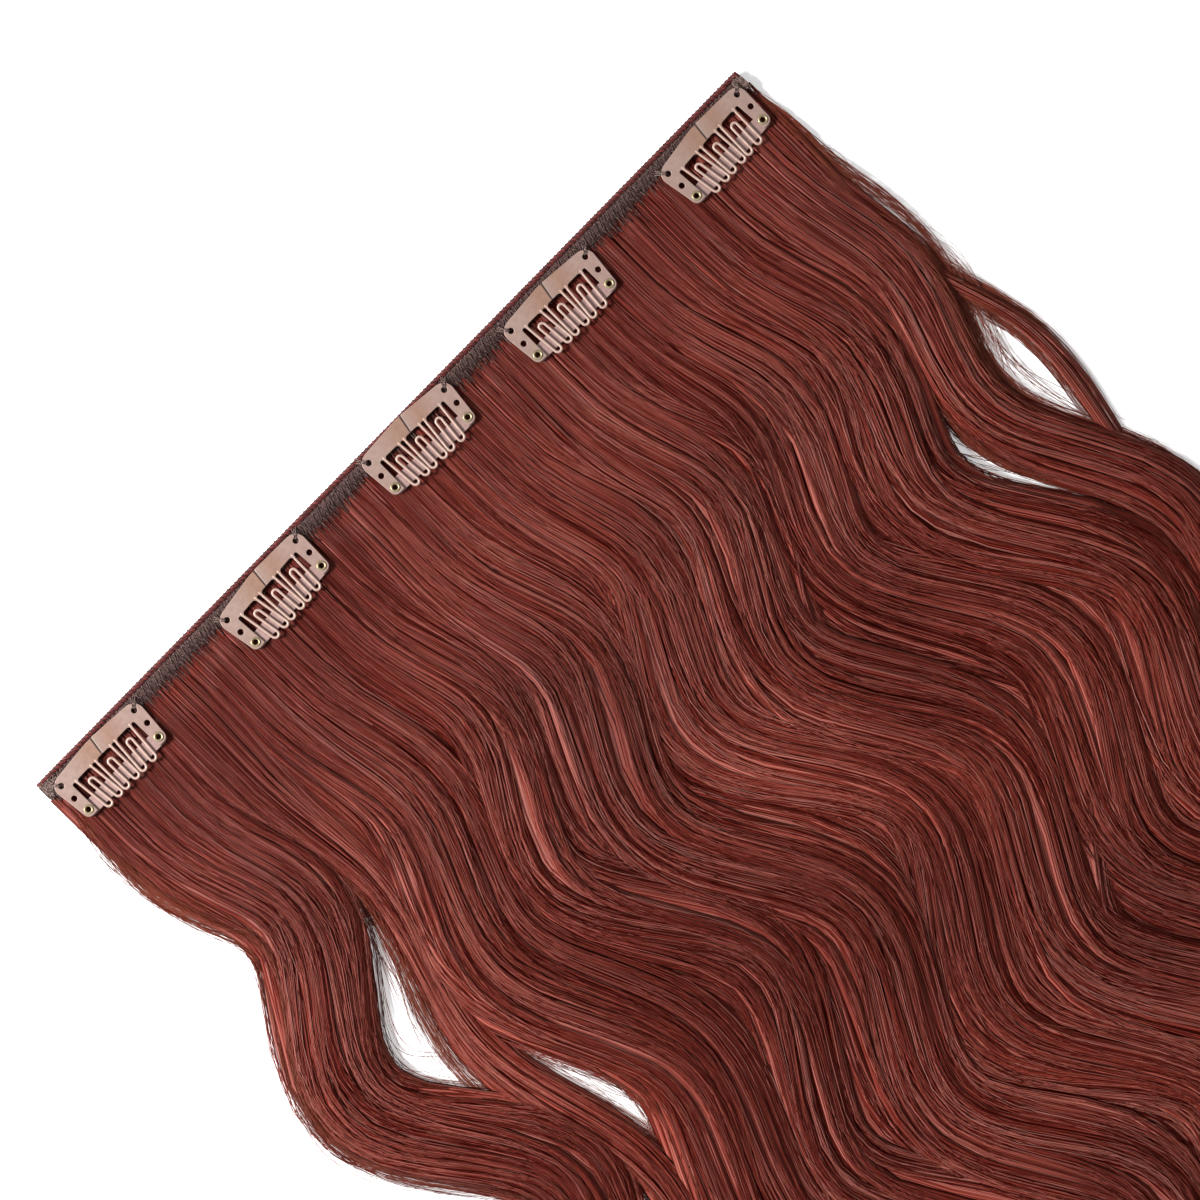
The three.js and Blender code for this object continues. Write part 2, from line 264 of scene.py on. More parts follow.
# Veils: lock counted from 0, way out, hairs, then limits of their starts and of first, middle and last side
VEILS = [
    (0, -1, 150, (0, 330), (0.7, 1), (0.9, 1.15), (0.7, 1.1)),
    (0, -1, 40, (10, 330), (0.8, 1), (1, 1.35), (0.9, 1.3)),
    (0, -1, 60, (5, 35), (0.85, 0.98), (1.1, 1.4), (0.8, 1.05)),
    (0, 1, 80, (40, 300), (0.7, 1), (0.9, 1.3), (0.8, 1.9)),
    (1, -1, 40, (40, 300), (0.6, 1), (0.8, 1.6), (0.8, 2.2)),
    (1, -1, 60, (55, 95), (0.6, 1), (1, 2.4), (0.8, 2.2)),
    (1, 1, 70, (40, 300), (0.6, 1), (0.8, 1.6), (0.8, 2.4)),
    (2, -1, 50, (40, 300), (0.7, 1), (0.9, 1.15), (0.8, 1.4)),
    (8, 1, 50, (50, 300), (0.7, 1), (0.9, 1.2), (0.8, 1.5)),
    (9, -1, 70, (60, 105), (0.8, 1), (1, 1.25), (0.8, 1.05)),
    (9, 1, 110, (45, 80), (0.6, 1), (1, 1.6), (0.7, 1.1)),
    (9, 1, 40, (50, 75), (0.7, 1), (1.4, 2.6), (0.8, 1.2)),
    (9, 1, 70, (60, 330), (0.7, 1), (0.9, 1.25), (0.8, 1.5)),
    (9, 1, 60, (0, 30), (0.9, 1), (1.1, 1.6), (0.9, 1.15)),
    (10, 1, 60, (0, 30), (0.5, 1), (0.8, 1.3), (0.4, 1.3)),
    (10, 1, 50, (0, 6), (0.7, 1), (1.4, 2.1), (0.3, 1)),
    (10, 1, 70, (10, 90), (0.4, 1.1), (0.8, 1.9), (0.4, 2)),
    (10, 1, 40, (15, 70), (0.7, 1), (1.3, 2.8), (0.8, 2.4)),
    (10, -1, 30, (55, 95), (0.6, 1), (0.8, 1.6), (0.6, 2.4)),
    (10, -1, 40, (70, 85), (0.8, 1), (2, 4), (0.8, 1.2)),
]

# Clips: x, y and turn in degrees of each, then the stamped plate in the clip's own frame
CLIP_PLACES = [
    (-111.6, -6.24, 0.5),
    (-50.5, -6.12, 3.6),
    (4.0, -5.07, -1.5),
    (54.4, -7.27, -0.7),
    (112.4, -6.93, 3.4),
]
SHEET = 0.5
SHEET_Z = 3.4
SHEET_TOP = SHEET_Z + SHEET
SHEET_EDGE = 0.14
EDGE_ANGLES = (-90, -60, -30, 0)
LEVEL = 0.999
ROUND_STEPS = 28
HALF_TOP = 15.8
HALF_BOTTOM = 14.95
CLIP_TOP = 7.9
RIDGE = 1.5
SHOULDER = 7.05
SHOULDER_X = HALF_TOP - 3.5
TOP_END_X = HALF_TOP - 3.8
TOP_STEPS = 14
CORNER_Y = 3.9
CORNER_INSET = (0.2, 0.3)
CORNER_STEPS = 9
LEG_END = -6.5
LEG_INNER = 11.5
FOOT_WIDTH = 2.1
FOOT_HEIGHT = 2
TOE = 0.4
TOE_STEPS = 4
RAIL_BOTTOM = 2.84
STUB_END = 1.95
WINDOW_ROUNDING = 0.8
WINDOW_FLAT = 0.01
WINDOW_STEPS = 5
HOLE_X = 13.65
HOLE_HEIGHTS = (4.7, 0)
HOLE_RADIUS = 0.8

# Crease of the plate from its top to its end, and the thinner sheet at its bottom
CREASE = ((0.6, 7.9), (-0.2, 3.25))
CREASE_HALF = 0.22
CREASE_DEPTH = 0.26
CREASE_LAP = 0.2
CREASE_TOP_GAP = 0.1
CREASE_UNDERSIDE = 0.02
CREASE_EDGE = 0.03

# Comb: three pairs of looped teeth, each pair one bent strip of the plate's sheet
PAIRS = (-1, 0, 1)
PAIR_ROOT_PITCH = 7.3
PAIR_TIP_PITCH = 6.3
TOOTH_END = -8.44
TOOTH_PITCH = 3.66
TOOTH_STRIP = 0.72
TOOTH_OUTER = 1.3
TOOTH_ROUNDING = 0.2
TOOTH_SWELL = 0.01
ARCH_TOP = 1
COMB_OVERLAP = 0.5
DOWN_STEPS = 17
LOOP_STEPS = 12
REACH_STEPS = 9
ARCH_STEPS = 7

# Closing bar and its eyelets. The rim goes in from the flange, the throat out from the bore
BAR_Z = 2.6
BAR_TOP = -2.6
BAR_BOTTOM = -6.75
BAR_HALF = 14.9
BAR_STEPS = 14
EYELET_X = 13.1
EYELET_Y = -4.6
EYELET_BORE = 0.68
EYELET_TUBE = 0.85
EYELET_PLAY = 0.12
EYELET_FLANGE = 1.3
RIM_GAP = 0.02
EYELET_RIM = [(0.12, RIM_GAP), (0, 0.1), (0.06, 0.22), (0.2, 0.3), (0.36, 0.28)]
EYELET_THROAT = [(0.1, 0.14), (0, -0.1)]

# Threads that sew a clip to the band: out of a hole, over the corner and into the band. x is from the hole
SEWING_LINE = np.array([
    (0.28, 5.05, 2.9),
    (0.34, 5.15, SHEET_TOP - 0.05),
    (0.6, 5.5, SHEET_TOP + 0.2),
    (1.2, 6.2, SHEET_TOP + 0.22),
    (1.7, 6.8, SHEET_TOP - 0.15),
    (2.0, 7.2, 3.0),
    (2.2, 7.6, 2.4),
]) + (HOLE_X, 0, 0)
SEWING_THREADS = 3
SEWING_SPACING = 0.3
SEWING_FAN = (0.5, 1.6)
SEWING_SLANT = -0.8
SEWING_JITTER = 0.05
SEWING_STEPS = 25
SEWING_RADIUS = 0.13
SEWING_TONE = 40
SEWING_SIDES = 6

# Streaks: how many to a millimetre across and along
STRAND_STREAKS = (3.2, 0.006)
TUFT_STREAKS = (0.16, 0.004)
GROOVE_STREAKS = (7.0, 0.012)
METAL_GRAIN = (0.7, 0.7)
FULL_DETAIL = 3
SOFT_DETAIL = 2
GRAIN_DETAIL = 4
STREAK_ROUGHNESS = 0.6
TUFT_SHARE = 0.09
MID_TONE = 0.5
ROOT_CONTRAST = 0.85
# Size and detail of broad patches of painted shade that stand in for sheen on the hair
SHEEN_PATCH_SCALE = 14
SHEEN_PATCH_DETAIL = 1

# Finish of each material. A bump is a strength and a depth in metres
HAIR_BUMP = (0.5, 0.0003)
HAIR_FINISH = {"Roughness": 0.38, "Specular IOR Level": 0.13, "Specular Tint": (1.0, 0.86, 0.8, 1)}
CLOTH_SPECULAR = 0.2
THREAD_FINISH = {"streaks": (0.4, 1.5), "roughness": 0.7, "bump": (0.6, 0.00005)}
CLOTH_FINISH = {"streaks": (0.3, 3.0), "roughness": 0.7, "bump": (0.6, 0.0001)}
WELT_FINISH = {"streaks": (3.0, 0.3), "roughness": 0.5, "bump": (0.6, 0.0001)}
LACQUER_FINISH = {"metallic": 0.15, "roughness": 0.4}
BAR_FINISH = {"metallic": 0.2, "roughness": 0.42}
BRASS_FINISH = {"metallic": 0.6, "roughness": 0.34}
SHINE_STOPS = [(0.3, -0.05), (0.7, 0.07)]

# Tones of each material: place on the ramp and colour. The first three are painted shade on the hair
# Painted shade in broad patches, standing in for sheen across the waves
SHEEN_PATCH_TONES = [(0.36, (0.72, 0.70, 0.72)), (0.62, (1, 1, 1))]
# Painted shade towards the right-hand side, away from the key light
SIDE_SHADE_TONES = [(0.1, (1, 1, 1)), (0.7, (0.91, 0.89, 0.88))]
# Painted shade near the band, where the straight roots catch less sheen
ROOT_SHADE_TONES = [(0.25, (0.75, 0.76, 0.79)), (0.9, (1, 1, 1))]
# Strand tones that differ at random; the lightest stop is a painted glint on rare strands
HAIR_TONES_AND_GLINTS = [
    (0.41, (0.054, 0.0014, 0.0006)),
    (0.5, (0.258, 0.034, 0.021)),
    (0.59, (0.412, 0.119, 0.089)),
    (0.66, (0.445, 0.18, 0.147)),
]
# Lighter, more orange tones for loose hairs: painted light shining through them
BACKLIT_LOOSE_TONES = [(0.41, (0.155, 0.021, 0.011)), (0.5, (0.265, 0.053, 0.028)), (0.59, (0.39, 0.12, 0.077))]
STITCH_TONES = [(0.38, (0.03, 0.019, 0.017)), (0.62, (0.30, 0.20, 0.175))]
CLOTH_TONES = [(0.3, (0.022, 0.011, 0.010)), (0.7, (0.11, 0.055, 0.05))]
WELT_TONES = [(0.3, (0.03, 0.006, 0.006)), (0.7, (0.19, 0.036, 0.033))]
TEETH_TONES = [(0.3, (0.44, 0.295, 0.245)), (0.7, (0.51, 0.355, 0.295))]
BAR_TONES = [(0.3, (0.318, 0.195, 0.177)), (0.7, (0.383, 0.244, 0.224))]
BRASS_TONES = [(0.3, (0.37, 0.285, 0.16)), (0.7, (0.45, 0.38, 0.235))]

# Tones across the plate: its lacquer with painted reflection of its bent halves, and painted shade in the
# crease in its middle
MOTTLE_TONES = [(0.3, (0.92, 0.92, 0.92)), (0.7, (1, 1, 1))]
WARM_REFLECTED_SHEET = (0.296, 0.167, 0.12)
FAIR_SHEET = (0.342, 0.232, 0.193)
SOFT_SHEET = (0.335, 0.219, 0.186)
# Painted shade along the bottom of the crease
CREASE_SHADE = (0.10, 0.065, 0.055)
PLATE_TONES_AND_REFLECTIONS = [
    (0.0, SOFT_SHEET),
    (0.2, FAIR_SHEET),
    (0.42, WARM_REFLECTED_SHEET),
    (0.488, WARM_REFLECTED_SHEET),
    (0.494, CREASE_SHADE),
    (0.506, CREASE_SHADE),
    (0.512, FAIR_SHEET),
    (0.64, WARM_REFLECTED_SHEET),
    (0.82, SOFT_SHEET),
]

# The corners of a face in the order that turns it over
FLIPPED = [0, 3, 2, 1]
Shape = namedtuple("Shape", "points faces uv")

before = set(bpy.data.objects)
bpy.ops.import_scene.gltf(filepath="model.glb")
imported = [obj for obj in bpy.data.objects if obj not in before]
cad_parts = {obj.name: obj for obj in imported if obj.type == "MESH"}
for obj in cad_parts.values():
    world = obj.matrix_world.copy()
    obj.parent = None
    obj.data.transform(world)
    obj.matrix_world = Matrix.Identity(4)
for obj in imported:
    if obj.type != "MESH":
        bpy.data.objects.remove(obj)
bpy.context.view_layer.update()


# Meshes from arrays

def smooth(low, high, value):
    t = np.clip((value - low) / (high - low), 0, 1)
    return t * t * (3 - 2 * t)


def mix(first, second, share):
    return first + (second - first) * share


def tapered(share, loss, start):
    """1 up to the start of a taper, then down by the loss."""
    return 1 - loss * smooth(start, 1, share)


def columns(*parts):
    """The parts side by side in one array."""
    return np.stack(np.broadcast_arrays(*parts), axis=-1)


def joined(shapes):
    """One shape of several."""
    faces = []
    count = 0
    for shape in shapes:
        faces += [group + count for group in shape.faces]
        count += len(shape.points)
    points = np.concatenate([shape.points for shape in shapes])
    uv = np.concatenate([shape.uv for shape in shapes])
    return Shape(points, faces, uv)


def added(name, data):
    """A new object in the scene."""
    thing = bpy.data.objects.new(name, data)
    bpy.context.scene.collection.objects.link(thing)
    return thing


def mesh_object(name, shape, material):
    """A smooth mesh of the shape, in metres, with its UV in millimetres."""
    mesh = bpy.data.meshes.new(name)
    loops = np.concatenate([group.ravel() for group in shape.faces]).astype(np.int32)
    sizes = np.concatenate([np.full(len(group), group.shape[1]) for group in shape.faces])
    starts = np.concatenate([[0], np.cumsum(sizes)[:-1]]).astype(np.int32)
    mesh.vertices.add(len(shape.points))
    mesh.vertices.foreach_set("co", (shape.points * MM).astype(np.float32).ravel())
    mesh.loops.add(len(loops))
    mesh.loops.foreach_set("vertex_index", loops)
    mesh.polygons.add(len(starts))
    mesh.polygons.foreach_set("loop_start", starts)
    mesh.update(calc_edges=True)
    mesh.validate()
    layer = mesh.uv_layers.new(name="UVMap")
    layer.uv.foreach_set("vector", shape.uv[loops].astype(np.float32).ravel())
    mesh.shade_smooth()
    mesh.materials.append(material)
    return added(name, mesh)


def ring_walls(rings):
    """Faces between each ring of points and the next."""
    after = np.roll(rings, -1, axis=-1)
    corners = [rings[..., :-1, :], after[..., :-1, :], after[..., 1:, :], rings[..., 1:, :]]
    return np.stack(corners, axis=-1).reshape(-1, 4)


def swept(paths, section, scales, tones, lengths):
    """Closed tubes. paths is (tube, station, xyz), section (side, across and up), scales (tube, station, 2).

    UV is the tube's tone plus the way across, and the way along, in millimetres.
    """
    along = np.gradient(paths, axis=1)
    across = np.cross(along, [0, 0, 1])
    across /= np.linalg.norm(across, axis=2, keepdims=True)
    up = np.cross(across, along)
    up /= np.linalg.norm(up, axis=2, keepdims=True)
    offsets = section * scales[:, :, None]
    points = paths[:, :, None] + across[:, :, None] * offsets[..., :1] + up[:, :, None] * offsets[..., 1:]
    uv = columns(tones[:, None, None] + offsets[..., 0], lengths[:, :, None])
    index = np.arange(offsets[..., 0].size).reshape(offsets.shape[:3])
    caps = np.concatenate([index[:, 0], index[:, -1, ::-1]])
    return Shape(points.reshape(-1, 3), [ring_walls(index)[:, FLIPPED], caps], uv.reshape(-1, 2))


def round_section(sides):
    angles = np.arange(sides) * 2 * np.pi / sides + np.pi / 2
    return columns(np.cos(angles), np.sin(angles))


def round_tubes(paths, width, tones, lengths, sides):
    """Round tubes, as wide as given at each station."""
    return swept(paths, round_section(sides), columns(width, width), tones, lengths)


def thread(line, radius, tone, sides):
    """A round thread along one line of points."""
    steps = np.linalg.norm(np.diff(line, axis=0), axis=1)
    lengths = np.concatenate([[0], np.cumsum(steps)])[None]
    return round_tubes(line[None], np.full(lengths.shape, radius), np.array([tone]), lengths, sides)


def resampled(line, count):
    """A line with count points, spread evenly between its corners."""
    corners = np.arange(len(line))
    steps = np.linspace(0, len(line) - 1, count)
    return columns(*(np.interp(steps, corners, axis) for axis in line.T))


# Hair

def grown(distance):
    """0 near the band, and 1 where the waves have their full swing."""
    return smooth(CALM_LENGTH, FULL_LENGTH, distance)


def lock_middle(lock, distance, swing=1.0, late=0.0):
    turn = 2 * np.pi * (distance - FIRST_CREST - lock["late"] - late) / WAVELENGTH
    drift = lock["lean"] * distance / lock["length"]
    wave = swing * lock["swing"] * np.cos(turn)
    return lock["root"] + grown(distance) * (drift + wave)


def lock_half(lock, distance):
    body = mix(lock["root_width"], lock["width"], grown(distance))
    return mix(body, lock["tip_width"], smooth(1 - TIP_SHARE, 1, distance / lock["length"])) / 2


def lock_height(lock, distance):
    body = mix(HEAD_HEIGHT, lock["height"], smooth(HEAD_LENGTH, FULL_LENGTH, distance))
    return mix(body, TIP_HEIGHT, smooth(1 - TIP_SHARE, 1, distance / lock["length"]))


def lock_points(lock, distance, side, lift, swing=1.0, late=0.0):
    """Points in a lock: side runs from -1 to 1 across it and lift from 0 at the floor to 1 at its top."""
    middle = lock_middle(lock, distance, swing, late)
    ahead = lock_middle(lock, distance + HALF_STEP, swing, late)
    behind = lock_middle(lock, distance - HALF_STEP, swing, late)
    slope = SECTION_TURN * (ahead - behind)
    reach = side * lock_half(lock, distance) / np.sqrt(1 + slope**2)
    power = mix(*CROWN_POWERS, smooth(HEAD_LENGTH, FULL_LENGTH, distance))
    crown = np.clip(1 - side**2, EDGE_CROWN, 1) ** (power / 2)
    height = lock_height(lock, distance) * crown * lift + ROOT_RISE * smooth(0, -ROOT_REACH, distance)
    return columns(middle + reach, HAIR_START - distance + slope * reach, height)


def crowded(lock, first, last, stations):
    """Distances along each strand, closer at the waves' crests and a little uneven."""
    even = np.linspace(first, last, stations, axis=1)
    step = even[:, 1:2] - even[:, :1]
    turn = 4 * np.pi * (even - FIRST_CREST - lock["late"]) / WAVELENGTH
    shift = CROWDING * WAVELENGTH * np.sin(turn) / (4 * np.pi)
    shift += step * RANDOM.uniform(-STATION_JITTER, STATION_JITTER, even.shape)
    shift[:, [0, -1]] = 0
    return even - shift


def root_starts(count):
    """Where strands start, under the front of the band."""
    return RANDOM.uniform(-ROOT_REACH, -ROOT_REACH / 2, count)


def lock_core(lock):
    """The inside of a lock, a little smaller than the solid."""
    last = np.array([lock["length"] * CORE_END[1]])
    distance = crowded(lock, np.array([0.0]), last, STATIONS)[..., None]
    angles = np.linspace(0, np.pi, CORE_SIDES)
    slim = 1 - CORE_TAPER * smooth(*CORE_END, distance / lock["length"])
    side = CORE_SHARE * np.cos(angles) * slim
    lift = np.full_like(side, CORE_LIFT)
    lift[..., [0, -1]] = CORE_FLOOR
    points = lock_points(lock, distance, side, lift)
    index = np.arange(side.size).reshape(side.shape)
    caps = np.concatenate([index[:, 0, ::-1], index[:, -1]])
    uv = columns(lock["root"] + side * lock["width"] / 2, distance)
    return Shape(points.reshape(-1, 3), [ring_walls(index), caps], uv.reshape(-1, 2))


def wisp_habits(lock):
    """How each wisp of a lock goes its own way. The wisps of a tuft share most of it."""
    count = int(lock["root_width"] / WISP_SPACING)
    tuft = np.arange(count) // WISPS_PER_TUFT
    tufts = tuft[-1] + 1

    def varied(common, own):
        return (RANDOM.normal(0, common, tufts)[tuft] + RANDOM.normal(0, own, count))[:, None]

    place = np.linspace(-WISP_EDGE, WISP_EDGE, count) + RANDOM.uniform(-WISP_JITTER, WISP_JITTER, count)
    return {
        "side": place[:, None],
        "wander": WANDER + varied(*WANDER_SPREADS),
        "period": RANDOM.uniform(*WANDER_PERIODS, tufts)[tuft][:, None],
        "start": RANDOM.uniform(0, 2 * np.pi, tufts)[tuft][:, None],
        "swing": 1 + varied(*SWING_SPREADS),
        "late": varied(*LATE_SPREADS),
        "lift": np.clip(TUFT_LIFT + varied(*LIFT_SPREADS), *LIFT_LIMITS),
        "length": lock["length"] * RANDOM.uniform(*WISP_LENGTHS, count),
        "tone": RANDOM.uniform(0, TONE_SPAN, count),
    }


def wandering(habits, which, distance, share):
    """How far across the lock the chosen wisps lie, moved by a share of half of it."""
    wave = np.sin(2 * np.pi * distance / habits["period"][which] + habits["start"][which])
    side = habits["side"][which] + share + grown(distance) * habits["wander"][which] * wave
    return np.clip(side, -LOOSEST, LOOSEST)


def wisps(lock, habits):
    """Flat tufts under the strands that close a lock's top."""
    which = np.arange(len(habits["tone"]))
    distance = crowded(lock, root_starts(len(which)), habits["length"], STATIONS)
    side = wandering(habits, which, distance, 0)
    paths = lock_points(lock, distance, side, WISP_LIFT * habits["lift"], habits["swing"], habits["late"])
    taper = tapered(distance / habits["length"][:, None], *WISP_TAPER)
    width = np.maximum(lock_half(lock, distance) * WISP_SHARE, LEAST_WIDTH) * taper
    thick = np.minimum(width * WISP_FLATNESS, THICKNESS_SHARE * paths[..., 2] + LEAST_THICKNESS)
    return swept(paths, round_section(WISP_SIDES), columns(width, thick), habits["tone"], distance)


def strand_side(lock, habits, which, distance, place):
    """How far across the lock strands lie, with strays and thin outer edges."""
    count = len(which)
    period = RANDOM.uniform(*STRAY_PERIODS, (count, 1))
    start = RANDOM.uniform(0, 2 * np.pi, (count, 1))
    stray = STRAY * RANDOM.standard_t(STRAY_TAIL, (count, 1)) * np.sin(2 * np.pi * distance / period + start)
    spread = WISP_SPREAD * place * (1 - TIP_GATHER * smooth(*GATHER_SPAN, distance / lock["length"]))
    veil = EDGE_VEIL * habits["side"][which] ** EDGE_POWER * grown(distance)
    return wandering(habits, which, distance, spread + veil + stray * smooth(0, STRAY_LENGTH, distance))


def strand_paths(lock, habits, which, distance, dive):
    """Lines of strands along their wisps. Their ends dive into the lock by a share of its height."""
    count = len(which)
    share = (distance - distance[:, :1]) / (distance[:, -1:] - distance[:, :1])
    place = RANDOM.triangular(-1, 0, 1, (count, 1))
    side = strand_side(lock, habits, which, distance, place)
    lift = STRAND_LIFT * habits["lift"][which] + MIDDLE_LIFT * (1 - place**2)
    lift += RANDOM.uniform(0, LIFT_JITTER, (count, 1))
    lift = lift - dive * (1 - smooth(0, DIVE_SPAN, share) * smooth(1, 1 - DIVE_SPAN, share))
    swing = habits["swing"][which] + RANDOM.normal(0, STRAND_SWING, (count, 1))
    late = habits["late"][which] + RANDOM.normal(0, STRAND_LATE, (count, 1))
    return lock_points(lock, distance, side, lift, swing, late), share


def strand_shape(paths, width, tones, distance):
    paths[..., 2] = np.maximum(paths[..., 2], width + FLOOR_GAP)
    return round_tubes(paths, width, tones, distance, STRAND_SIDES)


def long_strands(lock, habits):
    """Strands from the band to the tips, over the wisps."""
    count = int(LONG_PER_MM * lock["root_width"])
    which = np.arange(count) % len(habits["tone"])
    lengths = habits["length"][which] * RANDOM.uniform(*LONG_LENGTHS, count)
    distance = crowded(lock, root_starts(count), lengths, STATIONS)
    paths, share = strand_paths(lock, habits, which, distance, 0)
    width = RANDOM.uniform(*LONG_RADIUS, (count, 1)) * tapered(share, *LONG_TAPER)
    tones = habits["tone"][which] + RANDOM.uniform(-TONE_JITTER, TONE_JITTER, count)
    return strand_shape(paths, width, tones, distance)


def short_strands(lock, habits, per_mm, first_start, last_share, lengths, stations):
    """Strands on top of a lock for part of its length."""
    count = int(per_mm * lock["root_width"])
    which = RANDOM.integers(0, len(habits["tone"]), count)
    first = RANDOM.uniform(first_start, last_share * lock["length"], count)
    last = np.minimum(first + RANDOM.uniform(*lengths, count), habits["length"][which])
    distance = crowded(lock, first, last, stations)
    paths, share = strand_paths(lock, habits, which, distance, SHORT_DIVE)
    ends = smooth(1, 1 - SHORT_END, share) * np.where(first[:, None] > 0, smooth(0, SHORT_END, share), 1)
    width = RANDOM.uniform(*SHORT_RADIUS, (count, 1)) * mix(THIN_END, 1, ends)
    return strand_shape(paths, width, RANDOM.uniform(0, TONE_SPAN, count), distance)


def flyaway(lock, start, length, sides, lift):
    """The line of one loose hair over its lock, past the three sides given."""
    distance = np.linspace(start, start + length, FLYAWAY_STATIONS)
    share = FLYAWAY_SHARE
    first, middle, last = sides
    side = mix(mix(first, middle, share), mix(middle, last, share), share)
    side += RANDOM.normal(0, FLYAWAY_RIPPLE) * np.sin(FLYAWAY_BOWS * np.pi * share)
    return lock_points(lock, distance, side, 1 + lift * np.sin(np.pi * share))


def top_flyaway():
    """The line of a hair across the top of any lock but the last."""
    lock = LOCKS[RANDOM.integers(len(LOCKS) - 1)]
    first = RANDOM.uniform(-TOP_SIDE, TOP_SIDE)
    sides = first + np.array([0, 0.5, 1]) * RANDOM.uniform(-TOP_SIDE, TOP_SIDE)
    start, length, lift = RANDOM.uniform(TOP_LEAST, TOP_MOST)
    return flyaway(lock, start, length, sides, lift)


def veil_flyaway(number, outward, starts, reaches):
    """The line of a veil's hair, out past an edge of its lock."""
    start, length, lift = RANDOM.uniform((starts[0], *VEIL_LEAST), (starts[1], *VEIL_MOST))
    sides = [outward * RANDOM.uniform(*reach) for reach in reaches]
    return flyaway(LOCKS[number], start, length, sides, lift)


def flyaways():
    """Loose hairs across the tops of the locks and out past their edges."""
    paths = [top_flyaway() for _ in range(TOP_FLYAWAYS)]
    for number, outward, count, starts, *reaches in VEILS:
        paths += [veil_flyaway(number, outward, starts, reaches) for _ in range(count)]
    paths = np.array(paths)
    count = len(paths)
    width = RANDOM.uniform(*FLYAWAY_RADIUS, (count, 1)) * tapered(FLYAWAY_SHARE, *FLYAWAY_TAPER)
    paths[..., 2] = np.maximum(paths[..., 2], FLYAWAY_FLOOR)
    lengths = np.broadcast_to(FLYAWAY_STREAK * FLYAWAY_SHARE, width.shape)
    return round_tubes(paths, width, RANDOM.uniform(0, TONE_SPAN, count), lengths, STRAND_SIDES)


def lock_shape(lock):
    """All hair of one lock."""
    habits = wisp_habits(lock)
    short = [short_strands(lock, habits, *row) for row in SHORT_STRANDS]
    return joined([lock_core(lock), wisps(lock, habits), long_strands(lock, habits), *short])


def make_hair(material, loose):
    made = []
    for number, lock in enumerate(LOCKS, 1):
        made.append(mesh_object(f"hair_lock_{number}", lock_shape(lock), material))
    made.append(mesh_object("hair_flyaways", flyaways(), loose))
    for piece in made:
        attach(piece, ROOT_BODY)
    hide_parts("hair")


# Band

def band_row(margin, step):
    """Even x along the band, about a step apart, with a margin at both ends."""
    start = -BAND_HALF + margin
    end = BAND_HALF - margin
    return np.linspace(start, end, int((end - start) / step) + 1)


def wound(x, angle, middle, reach):
    """A line along the band that winds round a middle."""
    return columns(x, middle[0] + reach[0] * np.cos(angle), middle[1] + reach[1] * np.sin(angle))


def to_and_fro(count):
    return np.where(np.arange(count) % 2, 1, -1)


def band_body():
    """The strip of sewn wefts, a little slimmer at its ends."""
    x = band_row(0, BAND_STEP)
    outline = np.array([(-y, z) for y, z in BAND_SECTION])
    end = smooth(BAND_HALF - BAND_END_LENGTH, BAND_HALF, np.abs(x))
    slim = 1 - BAND_END_SHRINK * end**2
    return swept(columns(x, 0, 0)[None], outline, columns(slim, slim)[None], np.zeros(1), x[None] + BAND_HALF)


def welt_rope():
    """Two plies of hair twisted along the upper edge."""
    x = band_row(WELT_END, WELT_STEP)
    plies = []
    for ply in range(2):
        angle = 2 * np.pi * x / WELT_TWIST + ply * np.pi
        plies.append(thread(wound(x, angle, PLY_MIDDLE, PLY_REACH), PLY_RADIUS, PLY_TONE * ply, PLY_SIDES))
    return joined(plies)


def zigzag(middle, swing, pitch, height, yarn):
    """A row of zigzag stitches with slightly uneven points."""
    x = band_row(ZIGZAG_END, pitch / 2)
    count = len(x)
    along, across, up = ZIGZAG_JITTER
    y = middle + swing * to_and_fro(count) + RANDOM.normal(0, across, count)
    z = height + RANDOM.normal(0, up, count)
    return thread(columns(x + RANDOM.normal(0, along, count), y, z), *yarn)


def overlock():
    """The thread that winds round the welt."""
    turns = (BAND_LENGTH - 2 * OVERLOCK_END) / OVERLOCK_PITCH
    angle = np.linspace(0, 2 * np.pi * turns, int(turns * OVERLOCK_STEPS))
    x = np.linspace(-BAND_HALF + OVERLOCK_END, BAND_HALF - OVERLOCK_END, len(angle))
    return thread(wound(x, angle, OVERLOCK_MIDDLE, OVERLOCK_REACH), *OVERLOCK_THREAD)


def end_tack(side, reach, passes):
    """The thread that locks an end of the band, sewn to and fro."""
    x = side * (BAND_HALF - reach * RANDOM.uniform(0, 1, passes) ** TACK_CROWDING)
    y = to_and_fro(passes) * RANDOM.uniform(*TACK_SWING, passes)
    z = RANDOM.uniform(*TACK_HEIGHTS, passes)
    return thread(resampled(columns(x, y, z), passes * TACK_STEPS), *TACK_THREAD)


def ties(spacing, tone):
    """Short threads that tie the hair down where it leaves the band."""
    count = int(BAND_LENGTH / spacing)
    x = np.linspace(-BAND_HALF + TIE_END, BAND_HALF - TIE_END, count) + RANDOM.normal(0, TIE_JITTER, count)
    starts = RANDOM.uniform(*TIE_STARTS, (count, 1))
    ends = RANDOM.uniform(*TIE_ENDS, (count, 1))
    share = np.linspace(0, 1, len(TIE_HEIGHTS))
    y = mix(starts, ends, share)
    lean = RANDOM.normal(0, TIE_JITTER, (count, 1))
    paths = columns(x[:, None] + lean * share, y, TIE_HEIGHTS)
    width = np.broadcast_to(RANDOM.uniform(*TIE_RADIUS, (count, 1)), y.shape)
    tones = tone + RANDOM.uniform(0, TIE_TONES, count)
    lengths = np.broadcast_to(TIE_STREAK * share, y.shape)
    return round_tubes(paths, width, tones, lengths, STRAND_SIDES)


